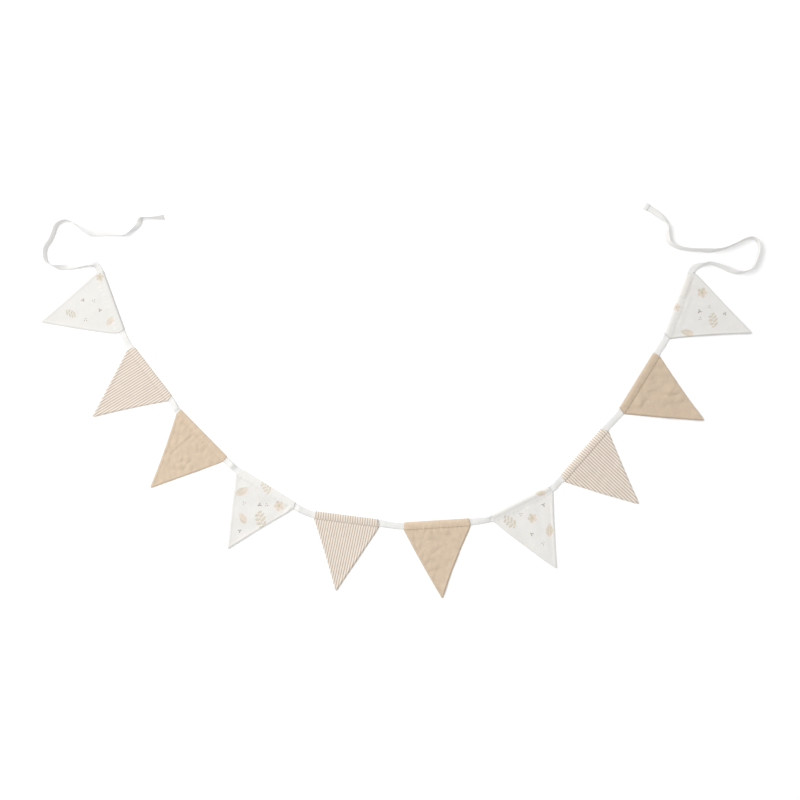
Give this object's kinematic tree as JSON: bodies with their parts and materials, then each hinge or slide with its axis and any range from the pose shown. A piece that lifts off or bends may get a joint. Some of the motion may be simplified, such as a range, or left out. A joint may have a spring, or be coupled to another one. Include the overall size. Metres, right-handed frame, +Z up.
{
  "type": "fabric bunting",
  "caption": "String of triangular cloth pennants with sewn casings on a flat cotton tape whose loose ends are ties, laid out in a wide curve.",
  "frame": {"origin": "on the surface it lies on, under the middle of its outline", "axes": "+Z up from the surface, +X across the curve from the left tie to the right tie, +Y from the bottom of the curve towards its open side"},
  "size_m": [1.7118, 0.94, 0.014],
  "materials": {
    "printed_cotton": "matt white muslin with small scattered prints",
    "striped_cotton": "matt cotton with narrow beige and cream stripes",
    "beige_cotton": "matt plain-woven beige cotton",
    "white_tape": "matt woven white tape",
    "label_cloth": "plain woven label, bare"
  },
  "bodies": {
    "root": {"pennant_01": "printed_cotton", "pennant_02": "striped_cotton", "pennant_03": "beige_cotton", "pennant_04": "printed_cotton", "pennant_05": "striped_cotton", "pennant_06": "beige_cotton", "pennant_07": "printed_cotton", "pennant_08": "striped_cotton", "pennant_09": "beige_cotton", "pennant_10": "printed_cotton", "tape": "white_tape", "label": "label_cloth"}
  },
  "joints": []
}
